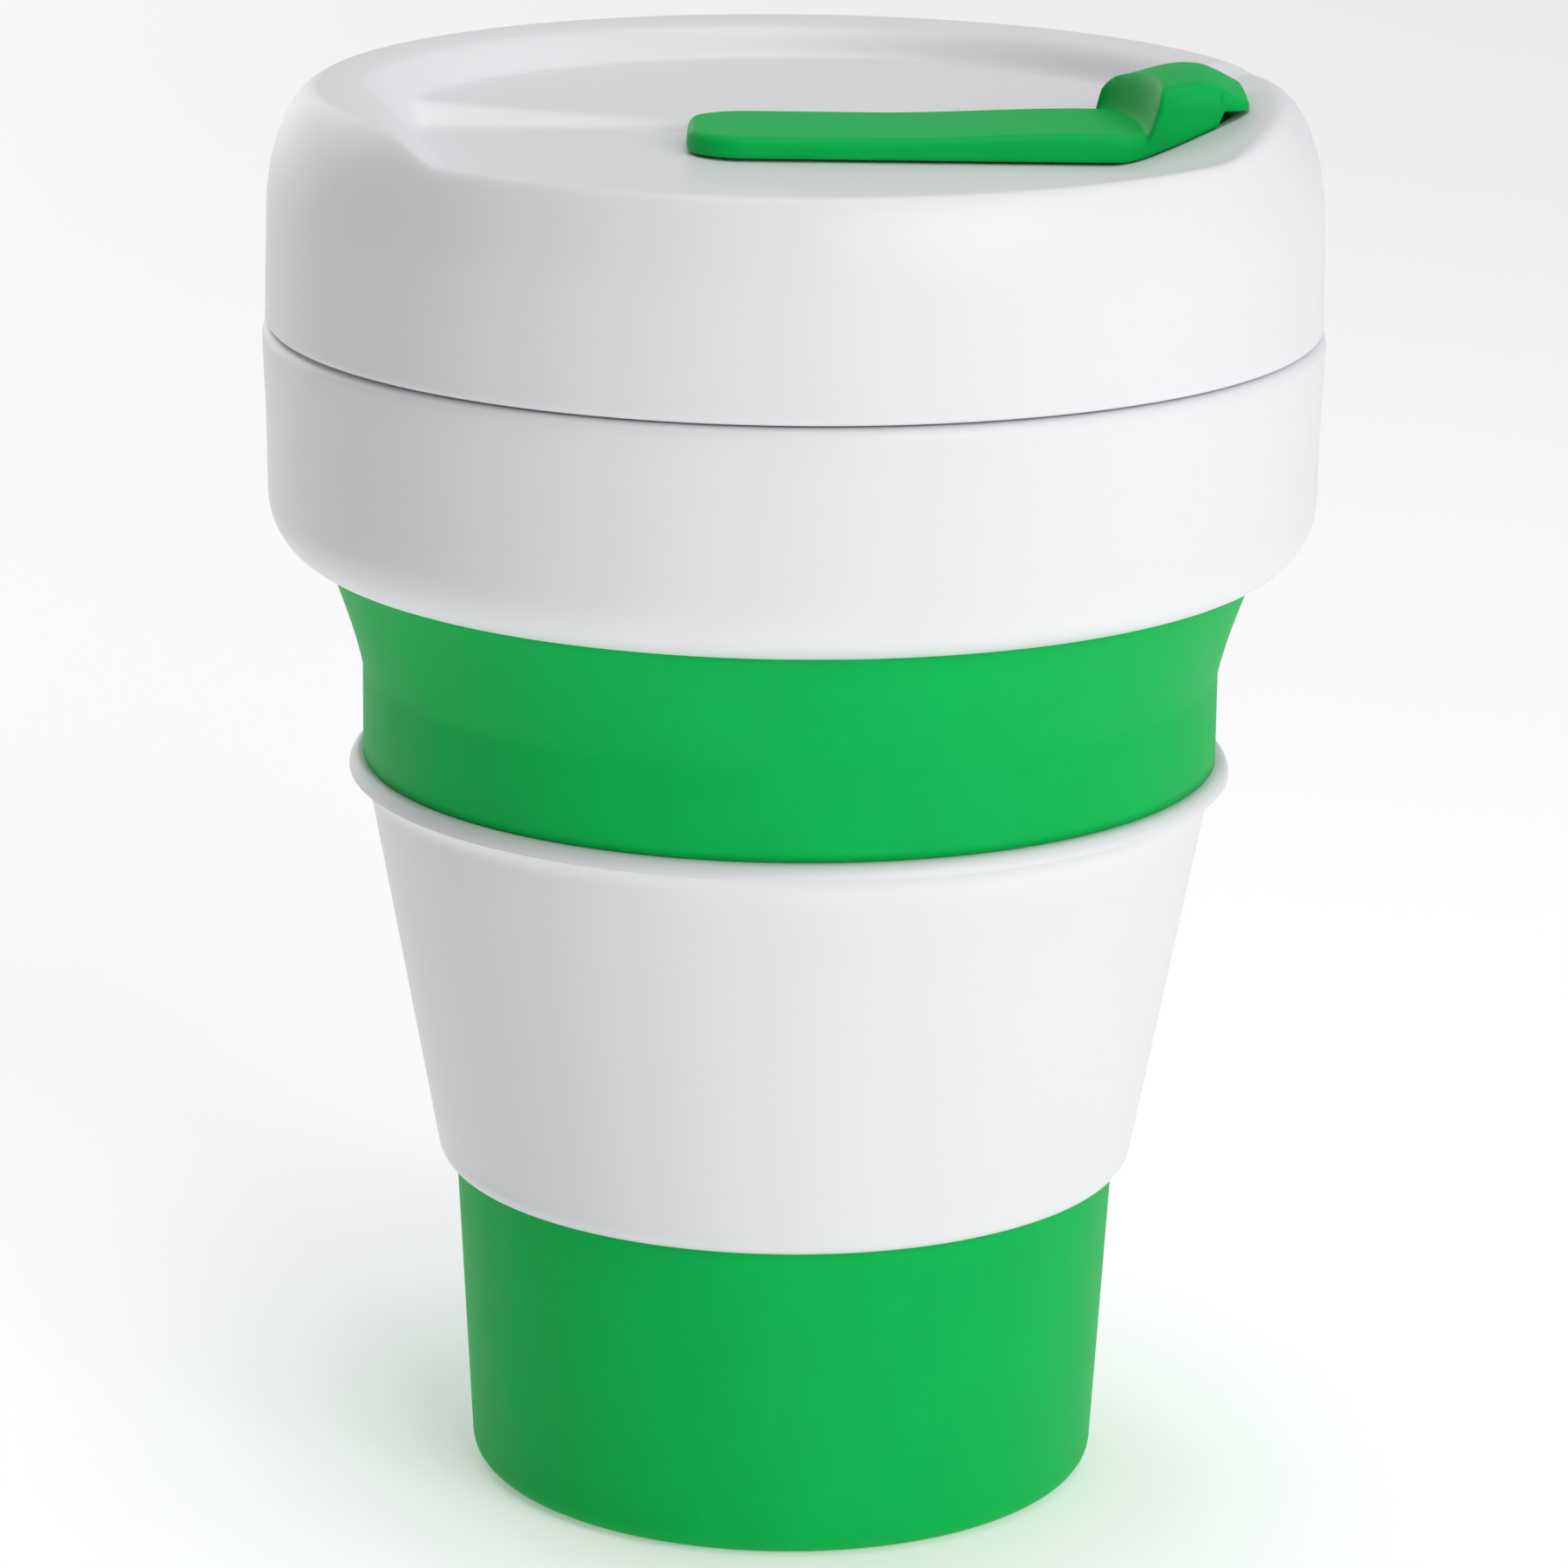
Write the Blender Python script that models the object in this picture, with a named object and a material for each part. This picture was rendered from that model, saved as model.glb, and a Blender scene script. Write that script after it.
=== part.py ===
"""Collapsible travel cup: screw lid with a flip stopper, a ring collar, a silicone cup in tiers that fold
up into each other, and a hard heat sleeve round the middle tier.

The cup's axis is Z, its foot stands on Z = 0 and the stopper points along +X. Dimensions are millimetres
in the constants and outlines, and every mesh is scaled to metres as it is made.
"""

import math

import bmesh
import bpy
from mathutils import Vector

MM = 0.001
SEGMENTS = 64
GAP = 0.3

# Heights of the joints between the tiers
SEAM_Z = 111.2
CREST_Z = 133.0
LIP_Z = 89.7
WALL_TOP_Z = 78.5
SLEEVE_TOP_Z = 70.0
SLEEVE_BOTTOM_Z = 30.6
MIDDLE_BOTTOM_Z = 48.0
BASE_TOP_Z = 33.2

# Lid
LID_SKIRT_R = 49.0
LID_SHOULDER_R = 48.8
LID_SHOULDER_Z = 121.0
LID_CREST_R = 44.0
LID_BORE_R = 46.4
LID_CEILING_Z = 125.1
DISH_R = 40.5
DISH_Z = 129.8
CHANNEL_Z = 127.2
CHANNEL_HALF = 8.5
STEP_Y = 10.0
STEP_Z = 128.4
RAMP_FOOT_X = 34.0
RAMP_RISE = 0.42
ANCHOR_X = -4.0
SIP_X = 33.0
SIP_R = 4.4
VENT_X = 14.0
VENT_R = 0.9

# Screw thread between the neck and the lid
THREAD_STARTS = 3
THREAD_LEAD = 12.0
THREAD_Z = 117.0
RIDGE_TIP_R = 46.05
LUG_TIP_R = 45.8
LUG_DROP = 1.6

# Collar and neck
COLLAR_TOP_R = 49.24
COLLAR_LOW_R = 48.8
COLLAR_ROUND_Z = 95.5
LIP_R = 43.95
COLLAR_BORE_R = 46.7
NECK_R = 45.5
NECK_BORE_R = 43.9
NECK_TOP_Z = 122.0
NECK_FOOT_Z = 104.0
TONGUE_R = 45.8

# Silicone cup
WALL_R = 40.15
WALL = 2.2
FLARE_R = 43.65
FLARE_POWER = 1.25
WEB = 1.0
FOLD_WEB = 0.9
BASE_FOOT_R = 29.75
BASE_TAPER = 0.055
BASE_ROUND = 2.2
FLOOR = 3.0

# Heat sleeve
SLEEVE_TAPER = 0.1846
SLEEVE_REF_R = 34.0
SLEEVE_REF_Z = 36.65
SLEEVE_WALL = 1.3
BEAD_R = 41.45
BEAD_DEPTH = 3.0

# Stopper
STRAP_HALF = 8.05
STRAP_BOTTOM_Z = 127.5
STRAP_TOP_Z = 129.45
STRAP_END_X = -10.1
HINGE_X = 3.0
STOPPER_TIP_X = 41.3
STOPPER_TOP_Z = 134.9
PLUG_R = 4.0
PLUG_BOTTOM_Z = 123.6

WHITE = (0.80, 0.80, 0.82)
GREEN = (0.0, 0.38, 0.11)


def clear_scene():
    for obj in list(bpy.data.objects):
        bpy.data.objects.remove(obj, do_unlink=True)


def material(name, colour, roughness):
    made = bpy.data.materials.new(name)
    made.use_nodes = True
    shader = made.node_tree.nodes["Principled BSDF"]
    shader.inputs["Base Color"].default_value = (*colour, 1.0)
    shader.inputs["Roughness"].default_value = roughness
    shader.inputs["Metallic"].default_value = 0.0
    made.diffuse_color = (*colour, 1.0)
    return made


def finished(name, mesh, finish, origin=(0.0, 0.0, 0.0)):
    """An object of this bmesh, whose points are millimetres in the cup's frame, with its origin where given."""
    bmesh.ops.recalc_face_normals(mesh, faces=mesh.faces)
    for vert in mesh.verts:
        vert.co = (vert.co - Vector(origin)) * MM
    data = bpy.data.meshes.new(name)
    mesh.to_mesh(data)
    mesh.free()
    data.shade_smooth()
    data.set_sharp_from_angle(angle=math.radians(35))
    obj = bpy.data.objects.new(name, data)
    obj.location = Vector(origin) * MM
    bpy.context.scene.collection.objects.link(obj)
    if finish is not None:
        data.materials.append(finish)
    return obj


def turned_mesh(outline):
    """A closed (radius, height) outline turned about Z. It meets the axis only across flat ends."""
    mesh = bmesh.new()
    rings = []
    for radius, height in outline:
        ring = []
        if radius > 0.0:
            for i in range(SEGMENTS):
                angle = 2 * math.pi * i / SEGMENTS
                ring.append(mesh.verts.new((radius * math.cos(angle), radius * math.sin(angle), height)))
        rings.append(ring)
    for a, b in zip(rings, rings[1:] + rings[:1]):
        if a and b:
            for i in range(SEGMENTS):
                j = (i + 1) % SEGMENTS
                mesh.faces.new([a[i], a[j], b[j], b[i]])
        elif a or b:
            mesh.faces.new(a or b)
    return mesh


def turned(name, outline, finish):
    return finished(name, turned_mesh(outline), finish)


def quarter(start, end, steps, upright_first=True):
    """Points of a quarter ellipse from start to end, leaving start upright, or arriving at end upright."""
    points = []
    for i in range(steps + 1):
        t = 0.5 * math.pi * i / steps
        if upright_first:
            across, along = 1 - math.cos(t), math.sin(t)
        else:
            across, along = math.sin(t), 1 - math.cos(t)
        points.append((start[0] + (end[0] - start[0]) * across, start[1] + (end[1] - start[1]) * along))
    return points


def prism(outline, half_width, along="X"):
    """A closed outline in the plane across the given axis, extruded to both sides of it."""
    mesh = bmesh.new()
    sides = []
    for offset in (-half_width, half_width):
        if along == "X":
            sides.append([mesh.verts.new((offset, a, b)) for a, b in outline])
        else:
            sides.append([mesh.verts.new((a, offset, b)) for a, b in outline])
    mesh.faces.new(sides[0])
    mesh.faces.new(sides[1])
    count = len(outline)
    for i in range(count):
        j = (i + 1) % count
        mesh.faces.new([sides[0][i], sides[0][j], sides[1][j], sides[1][i]])
    return mesh


def cylinder_mesh(x, radius, bottom, top, sides=24):
    mesh = bmesh.new()
    rings = []
    for height in (bottom, top):
        ring = []
        for i in range(sides):
            angle = 2 * math.pi * i / sides
            ring.append(mesh.verts.new((x + radius * math.cos(angle), radius * math.sin(angle), height)))
        rings.append(ring)
        mesh.faces.new(ring)
    for i in range(sides):
        j = (i + 1) % sides
        mesh.faces.new([rings[0][i], rings[0][j], rings[1][j], rings[1][i]])
    return mesh


def helper(name, mesh):
    obj = finished(name, mesh, None)
    obj.hide_render = True
    obj.display_type = "WIRE"
    return obj


def boolean(obj, operation, other):
    step = obj.modifiers.new(other.name, "BOOLEAN")
    step.operation = operation
    step.solver = "EXACT"
    step.object = other


def thread_mesh(centre_angle, half_sweep, root_r, tip_r, centre_z, root_half, tip_half):
    """A short helical rib: its height follows the thread's lead, and its section is a trapezoid."""
    mesh = bmesh.new()
    step = 2 * math.pi / SEGMENTS
    count = max(2, round(2 * half_sweep / step))
    sections = []
    for i in range(count + 1):
        turn = -half_sweep + 2 * half_sweep * i / count
        angle = centre_angle + turn
        height = centre_z + THREAD_LEAD * turn / (2 * math.pi)
        points = ((root_r, -root_half), (tip_r, -tip_half), (tip_r, tip_half), (root_r, root_half))
        section = []
        for radius, up in points:
            section.append(mesh.verts.new((radius * math.cos(angle), radius * math.sin(angle), height + up)))
        sections.append(section)
    mesh.faces.new(sections[0])
    mesh.faces.new(sections[-1])
    for a, b in zip(sections, sections[1:]):
        for i in range(4):
            j = (i + 1) % 4
            mesh.faces.new([a[i], a[j], b[j], b[i]])
    return mesh


def sleeve_r(height):
    return SLEEVE_REF_R + SLEEVE_TAPER * (height - SLEEVE_REF_Z)


def sleeve_bore_r(height):
    return sleeve_r(height) - SLEEVE_WALL


def middle_r(height):
    """Outside of the middle tier where it stands in the sleeve."""
    return sleeve_bore_r(height) - GAP


def flare_r(height):
    """Outside of the flare between the upper wall and the collar's lip."""
    share = max(0.0, (height - WALL_TOP_Z) / (LIP_Z - GAP - WALL_TOP_Z))
    return WALL_R + (FLARE_R - WALL_R) * share**FLARE_POWER


def base_r(height):
    return BASE_FOOT_R + BASE_TAPER * height


def dish_cutter():
    """What lies above the dish floor: the strap's channel, a step behind it and two gently rising facets."""
    clear = CREST_Z + 5
    outline = [
        (DISH_R + 1, DISH_Z),
        (STEP_Y, STEP_Z),
        (CHANNEL_HALF, CHANNEL_Z),
        (-CHANNEL_HALF, CHANNEL_Z),
        (-DISH_R - 1, DISH_Z),
        (-DISH_R - 1, clear),
        (DISH_R + 1, clear),
    ]
    mesh = prism(outline, DISH_R + 1)
    for side in (-1, 1):
        cut = bmesh.ops.bisect_plane(
            mesh,
            geom=mesh.verts[:] + mesh.edges[:] + mesh.faces[:],
            plane_co=(side * RAMP_FOOT_X, 0.0, CHANNEL_Z),
            plane_no=(side * RAMP_RISE, 0.0, -1.0),
            clear_outer=True,
        )
        edges = [item for item in cut["geom_cut"] if isinstance(item, bmesh.types.BMEdge)]
        bmesh.ops.contextual_create(mesh, geom=edges)
    return mesh


def lid_shell(finish):
    shoulder = quarter((LID_SHOULDER_R, LID_SHOULDER_Z), (LID_CREST_R, CREST_Z), 8)
    rim = [(42.4, CREST_Z - 0.9), (DISH_R + 0.2, DISH_Z + 0.1), (DISH_R - 1.5, DISH_Z)]
    outline = [(LID_SKIRT_R, SEAM_Z + GAP / 2), *shoulder, *rim]
    outline += [(0.0, DISH_Z), (0.0, LID_CEILING_Z), (LID_BORE_R, LID_CEILING_Z)]
    outline += [(LID_BORE_R, SEAM_Z + GAP / 2)]
    lid = turned("lid_shell", outline, finish)
    bound = helper("dish_bound", cylinder_mesh(0.0, DISH_R - 0.2, CHANNEL_Z - 2, CREST_Z + 4, SEGMENTS))
    cutter = helper("dish_cutter", dish_cutter())
    boolean(cutter, "INTERSECT", bound)
    boolean(lid, "DIFFERENCE", cutter)
    holes = (("sip_hole", SIP_X, SIP_R), ("vent_hole", VENT_X, VENT_R), ("anchor_hole", ANCHOR_X, 2.6))
    for name, x, radius in holes:
        boolean(lid, "DIFFERENCE", helper(name, cylinder_mesh(x, radius, LID_CEILING_Z - 2, CREST_Z)))
    for start in range(THREAD_STARTS):
        angle = 2 * math.pi * start / THREAD_STARTS
        rib = thread_mesh(
            angle, math.radians(12), LID_BORE_R + 0.6, LUG_TIP_R, THREAD_Z - LUG_DROP, 0.75, 0.4
        )
        boolean(lid, "UNION", helper(f"lid_lug_{start}", rib))
    return lid


def lid_gasket(finish):
    top = LID_CEILING_Z - GAP
    bottom = NECK_TOP_Z + GAP
    outline = [(LID_BORE_R - GAP, bottom), (LID_BORE_R - GAP, top), (NECK_BORE_R, top), (NECK_BORE_R, bottom)]
    return turned("lid_gasket", outline, finish)


def threaded_neck(finish):
    outline = [
        (NECK_R, NECK_FOOT_Z),
        (NECK_R, NECK_TOP_Z - 0.6),
        (NECK_R - 0.5, NECK_TOP_Z),
        (NECK_BORE_R + 0.5, NECK_TOP_Z),
        (NECK_BORE_R, NECK_TOP_Z - 0.6),
        (NECK_BORE_R, NECK_FOOT_Z),
    ]
    neck = turned("threaded_neck", outline, finish)
    for start in range(THREAD_STARTS):
        angle = 2 * math.pi * start / THREAD_STARTS
        rib = thread_mesh(angle, math.radians(45), NECK_R - 0.4, RIDGE_TIP_R, THREAD_Z, 0.7, 0.4)
        boolean(neck, "UNION", helper(f"neck_ridge_{start}", rib))
    return neck


def collar_shell(finish):
    top = SEAM_Z - GAP / 2
    outside = [(COLLAR_TOP_R, top), (COLLAR_TOP_R - 0.05, top - 3)]
    outside += quarter((COLLAR_LOW_R, COLLAR_ROUND_Z), (LIP_R + 0.2, LIP_Z), 7)
    inside = [
        (LIP_R, LIP_Z + 0.3),
        (LIP_R + 1.0, LIP_Z + 1.6),
        (COLLAR_BORE_R, COLLAR_ROUND_Z),
        (COLLAR_BORE_R, top - 2.3),
        (TONGUE_R, top - 2.3),
        (TONGUE_R, top),
    ]
    return turned("collar_shell", outside + inside, finish)


def cup_rim(finish):
    """The silicone inside the collar, with a tongue held between the collar and the neck."""
    outer = COLLAR_BORE_R - GAP
    outline = [
        (FLARE_R - 0.1, LIP_Z),
        (LIP_R + 0.6, LIP_Z + 1.8),
        (outer, COLLAR_ROUND_Z + 0.3),
        (outer, SEAM_Z - 3.0),
        (TONGUE_R, SEAM_Z - 3.0),
        (TONGUE_R, NECK_FOOT_Z - GAP),
        (NECK_BORE_R, NECK_FOOT_Z - GAP),
        (NECK_BORE_R, LIP_Z + 2.4),
        (FLARE_R - 1.1, LIP_Z),
    ]
    return turned("cup_rim", outline, finish)


def upper_fold(finish):
    """The thin flare that rolls over when the middle tier is pushed up into the collar."""
    steps = 7
    bottom = WALL_TOP_Z + GAP
    top = LIP_Z - GAP
    outside = []
    inside = []
    for i in range(steps + 1):
        height = bottom + (top - bottom) * i / steps
        outside.append((flare_r(height), height))
        inside.append((flare_r(height) - WEB, height))
    return turned("upper_fold", outside + inside[::-1], finish)


def cup_middle(finish):
    """The upper wall, which shows, and the middle wall, which stands in the sleeve."""
    ledge = SLEEVE_TOP_Z + GAP
    outline = [
        (middle_r(MIDDLE_BOTTOM_Z), MIDDLE_BOTTOM_Z),
        (middle_r(ledge), ledge),
        (WALL_R - 0.15, ledge),
        (WALL_R, WALL_TOP_Z),
        (WALL_R - WALL, WALL_TOP_Z),
        (WALL_R - WALL, ledge + 1.5),
        (middle_r(MIDDLE_BOTTOM_Z) - WALL, MIDDLE_BOTTOM_Z),
    ]
    return turned("cup_middle", outline, finish)


def lower_fold(finish):
    """The thin wall that rolls over when the base is pushed up into the middle tier."""
    top = MIDDLE_BOTTOM_Z - GAP
    bottom = BASE_TOP_Z + GAP
    outside = [(middle_r(bottom) - 0.1, bottom), (middle_r(top) - 0.1, top)]
    inside = [(middle_r(top) - 0.1 - FOLD_WEB, top), (middle_r(bottom) - 0.1 - FOLD_WEB, bottom)]
    return turned("lower_fold", outside + inside, finish)


def cup_base(finish):
    foot = quarter((base_r(0) - BASE_ROUND, 0.0), (base_r(BASE_ROUND), BASE_ROUND), 5, upright_first=False)
    inner = base_r(BASE_TOP_Z) - WALL
    outline = [
        (0.0, 0.0),
        *foot,
        (base_r(SLEEVE_BOTTOM_Z - 1), SLEEVE_BOTTOM_Z - 1),
        (base_r(SLEEVE_BOTTOM_Z - 1), BASE_TOP_Z),
        (inner, BASE_TOP_Z),
        (base_r(FLOOR + 3) - WALL, FLOOR + 3),
        (base_r(FLOOR) - WALL - 3, FLOOR),
        (0.0, FLOOR),
    ]
    return turned("cup_base", outline, finish)


def heat_sleeve(finish):
    crease = SLEEVE_TOP_Z - BEAD_DEPTH
    mid = SLEEVE_TOP_Z - BEAD_DEPTH / 2
    round_z = SLEEVE_BOTTOM_Z + 2.2
    foot_r = sleeve_bore_r(SLEEVE_BOTTOM_Z) + 0.3
    outside = quarter((foot_r, SLEEVE_BOTTOM_Z), (sleeve_r(round_z), round_z), 4, upright_first=False)
    outside.append((sleeve_r(crease - 0.4), crease - 0.4))
    outside += quarter((sleeve_r(crease) + 0.25, crease), (BEAD_R, mid), 4, upright_first=False)
    outside += quarter((BEAD_R, mid), (BEAD_R - 1.0, SLEEVE_TOP_Z), 4)[1:]
    inside = [
        (sleeve_bore_r(SLEEVE_TOP_Z), SLEEVE_TOP_Z),
        (sleeve_bore_r(SLEEVE_BOTTOM_Z), SLEEVE_BOTTOM_Z),
    ]
    return turned("heat_sleeve", outside + inside, finish)


def stopper_anchor(finish):
    """The strap's fixed end, with the peg that snaps through the lid."""
    outline = [
        (STRAP_END_X, STRAP_BOTTOM_Z),
        (HINGE_X - GAP / 2, STRAP_BOTTOM_Z),
        (HINGE_X - GAP / 2, STRAP_TOP_Z),
        (STRAP_END_X + 0.6, STRAP_TOP_Z),
        (STRAP_END_X, STRAP_TOP_Z - 0.6),
    ]
    anchor = finished("stopper_anchor", prism(outline, STRAP_HALF, "Y"), finish)
    peg = helper("anchor_peg", cylinder_mesh(ANCHOR_X, 2.3, LID_CEILING_Z - 1.2, STRAP_TOP_Z - 0.5))
    head = helper("anchor_head", cylinder_mesh(ANCHOR_X, 3.8, LID_CEILING_Z - 1.8, LID_CEILING_Z - GAP))
    boolean(anchor, "UNION", peg)
    boolean(anchor, "UNION", head)
    return anchor


def stopper_flap(finish):
    """The strap beyond its living hinge, with the raised grip, the pull tab and the plug under it."""
    hinge = (HINGE_X, 0.0, STRAP_TOP_Z)
    scoop = quarter((27.0, STRAP_TOP_Z + 0.2), (30.2, 133.4), 4, upright_first=False)
    outline = [
        (HINGE_X + GAP / 2, STRAP_BOTTOM_Z),
        (30.5, STRAP_BOTTOM_Z),
        (34.5, 129.3),
        (38.6, 131.2),
        (STOPPER_TIP_X, 131.7),
        (STOPPER_TIP_X, 132.7),
        (38.6, 133.6),
        (35.8, STOPPER_TOP_Z),
        (33.6, STOPPER_TOP_Z),
        *scoop[::-1],
        (HINGE_X + GAP / 2, STRAP_TOP_Z),
    ]
    mesh = prism(outline, STRAP_HALF, "Y")
    for vert in mesh.verts:
        narrowing = max(0.0, (vert.co.x - 32.0) / (STOPPER_TIP_X - 32.0))
        vert.co.y *= 1.0 - 0.42 * narrowing**2
    flap = finished("stopper_flap", mesh, finish, hinge)
    plug = helper("plug", cylinder_mesh(SIP_X, PLUG_R, PLUG_BOTTOM_Z, STRAP_TOP_Z + 1.0))
    boolean(flap, "UNION", plug)
    return flap


def joint_empty(name, parent=None):
    empty = bpy.data.objects.new(name, None)
    bpy.context.scene.collection.objects.link(empty)
    empty.parent = parent
    return empty


def main():
    clear_scene()
    hard = material("white_polypropylene", WHITE, 0.42)
    soft = material("green_silicone", GREEN, 0.50)
    gasket = material("gasket_silicone", (0.72, 0.72, 0.72), 0.55)
    base_frame = joint_empty("base_frame")
    middle_axis = joint_empty("middle_axis", base_frame)
    collar_axis = joint_empty("collar_axis", middle_axis)
    lid_axis = joint_empty("lid_axis", collar_axis)
    for obj in (cup_base(soft), lower_fold(soft)):
        obj.parent = base_frame
    for obj in (cup_middle(soft), heat_sleeve(hard)):
        obj.parent = middle_axis
    for obj in (collar_shell(hard), threaded_neck(hard), cup_rim(soft), upper_fold(soft)):
        obj.parent = collar_axis
    for obj in (lid_shell(hard), lid_gasket(gasket), stopper_anchor(soft), stopper_flap(soft)):
        obj.parent = lid_axis


main()
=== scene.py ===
"""The collapsible travel cup's looks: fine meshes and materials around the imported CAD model.

Lengths are millimetres in the constants and outlines, and become metres as each mesh is made. The cup's
axis is Z, its foot stands on Z = 0, the front faces -Y and the stopper points along +X.
"""

import math

import bmesh
import bpy
from mathutils import Matrix, Vector


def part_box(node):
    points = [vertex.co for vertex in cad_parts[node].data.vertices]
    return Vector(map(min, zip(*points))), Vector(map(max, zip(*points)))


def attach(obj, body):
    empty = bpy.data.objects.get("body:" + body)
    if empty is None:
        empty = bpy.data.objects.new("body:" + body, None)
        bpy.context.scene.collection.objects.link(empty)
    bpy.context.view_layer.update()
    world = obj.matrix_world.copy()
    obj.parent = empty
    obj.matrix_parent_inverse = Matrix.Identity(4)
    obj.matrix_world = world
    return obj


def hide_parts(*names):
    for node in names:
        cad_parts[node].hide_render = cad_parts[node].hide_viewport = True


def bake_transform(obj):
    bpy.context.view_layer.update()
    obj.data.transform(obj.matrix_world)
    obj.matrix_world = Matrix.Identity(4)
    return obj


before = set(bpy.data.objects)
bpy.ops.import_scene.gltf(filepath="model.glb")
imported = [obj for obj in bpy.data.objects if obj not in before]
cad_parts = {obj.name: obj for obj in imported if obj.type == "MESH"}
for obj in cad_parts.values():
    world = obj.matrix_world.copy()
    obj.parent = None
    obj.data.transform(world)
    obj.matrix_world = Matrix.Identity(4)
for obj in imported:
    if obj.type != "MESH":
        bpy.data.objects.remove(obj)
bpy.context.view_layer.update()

MM = 0.001
TURNS = 192
SMALL_TURNS = 64
QUARTER = math.pi / 2


def cad(node):
    """(lowest corner, highest corner) of a CAD node in millimetres."""
    low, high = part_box(node)
    return [value / MM for value in low], [value / MM for value in high]


# ---------------------------------------------------------------- places taken from the CAD model
LID_LOW, LID_HIGH = cad("lid_shell")
COLLAR_LOW, COLLAR_HIGH = cad("collar_shell")
NECK_LOW, NECK_HIGH = cad("threaded_neck")
GASKET_LOW, GASKET_HIGH = cad("lid_gasket")
SLEEVE_LOW, SLEEVE_HIGH = cad("heat_sleeve")
FLAP_LOW, FLAP_HIGH = cad("stopper_flap")
ANCHOR_LOW = cad("stopper_anchor")[0]
MIDDLE_LOW = cad("cup_middle")[0]
BASE_HIGH = cad("cup_base")[1]

SEAM_Z = LID_LOW[2]
CREST_Z = LID_HIGH[2]
LID_R = LID_HIGH[0]
COLLAR_R = COLLAR_HIGH[0]
LIP_Z = COLLAR_LOW[2]
SLEEVE_TOP_Z = SLEEVE_HIGH[2]
SLEEVE_FOOT_Z = SLEEVE_LOW[2]
SLEEVE_LIP_R = SLEEVE_HIGH[0]
STOPPER_LEFT = ANCHOR_LOW[0]
STOPPER_RIGHT = FLAP_HIGH[0]

# ---------------------------------------------------------------- lid
SHOULDER_Z = 121.0
SHOULDER_R = 48.8
CREST_R = 43.5
RIM_INNER_R = 39.4
RIM_DROP = 0.8
RIM_POWER = 1.7
LID_BORE_R = 46.4
LID_EDGE_R = 0.5
CEILING_Z = 125.1
CEILING_FILLET = 0.8
CEILING_INNER_R = 42.4
GASKET_R = NECK_HIGH[0] - 2.2

# The dish is the round bowl behind the step.
DISH_R = 37.9
DISH_EDGE_Z = 129.55
DISH_LOW_Z = 128.05
DISH_SIDE_SLOPE = 1.5
DISH_FRONT_Y = 6.0
DISH_FRONT_SLOPE = 1.2

# The channel is level under the strap. The step is its back, and the deck climbs in front of it.
CHANNEL_Z = 127.15
STEP_FOOT_Y = 8.4
STEP_SLOPE = 0.8
DECK_START_Y = -8.0
DECK_EDGE_Z = 130.9
DECK_EDGE_R = 46.5
DECK_EDGE_LEAST_Y = 20.0
DECK_POWER = 1.3
LEFT_WALL_X = -35.3
LEFT_WALL_Z = 128.0
LEFT_WALL_SLANT = 0.193
LEFT_WALL_RUN = 1.05
RIGHT_WALL_X = 30.2
RIGHT_WALL_SLOPE = 0.42

# The dish's side also bounds the channel on the left, behind the deck: (start, run) of its share.
RIM_SIDE_Y = (-6.0, 3.5)
RIM_SIDE_X = (-10.0, -15.0)
RIM_SIDE_SINK = 30.0

# How wide the rounded joins are where two of the lid's surfaces meet.
WALL_JOIN = 0.9
DISH_FRONT_JOIN = 0.8
STEP_FOOT_JOIN = 0.5
STEP_BROW_JOIN = 0.45
RIM_JOIN = 1.0

# The top is meshed in rows out to PATCH_R, and in rings from there. STEP_ROWS are the fine rows' ends.
PATCH_R = 36.0
PATCH_CORNER = PATCH_R * math.sin(math.pi / 4)
STEP_ROWS = (6.5, 11.5)

# ---------------------------------------------------------------- thread
THREAD_Z = 117.0
THREAD_LEAD = 12.0
THREAD_ANGLES = [2 * math.pi * start / 3 for start in range(3)]
THREAD_FADE = math.radians(7)

# ---------------------------------------------------------------- stopper
STRAP_HALF = 8.05
STRAP_BOTTOM_Z = 127.4
STRAP_THICK = 2.0
ANCHOR_CORNER_R = 5.6
TAB_CORNER_R = 2.0
EDGE_R = 1.05
EDGE_R_GROWTH = 0.85
UNDER_EDGE_R = 0.45
LID_CLEARANCE = 0.08

ANCHOR_X = -4.0
HINGE_X = 3.0
BEND_END_X = 8.0
SIP_X = 33.0
SIP_R = 4.4
VENT_X = 14.0
VENT_R = 0.9
PLUG_R = 3.8
PLUG_BEAD_R = 4.0
PEG_R = 2.3
PEG_HEAD_R = 3.8
PEG_HOLE_R = 2.55

FACE_X = 27.5
FACE_SLANT = 4.1
FACE_HOLLOW = 0.9
FACE_DEPTH = 1.0
FACE_DEPTH_GROWTH = 0.7
FACE_START_X = 26.8
FACE_END_X = 35.0
CROWN_Z = 133.3
CROWN_CAMBER = 0.25
CROWN_CAMBER_Y = 6.0

# Smooth changes along the stopper: how much, and (start, run) in X.
STRAP_RISE, STRAP_RISE_X = 0.6, (7.0, 20.0)
TAB_NARROWING, TAB_NARROWING_X = 1.7, (33.0, 8.5)
CROWN_RISE, CROWN_RISE_X = 1.6, (28.0, 8.0)
CROWN_FALL, CROWN_FALL_X = 2.2, (36.6, 6.2)
NOTCH, NOTCH_X = 1.2, (38.2, 0.9)
EDGE_GROWTH_X = (28.5, 4.0)
UNDER_CLIMB_X = 30.6
UNDER_HIGHEST_Z = 132.0

# ---------------------------------------------------------------- collar and neck
COLLAR_TOP_Z = SEAM_Z - 0.22
COLLAR_FOOT_R = 48.85
COLLAR_ROUND_Z = 95.5
COLLAR_BORE_R = 46.7
COLLAR_LAND_R = 45.8
LIP_R = 43.95
NECK_R = 45.5
NECK_BORE_R = 43.9

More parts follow.
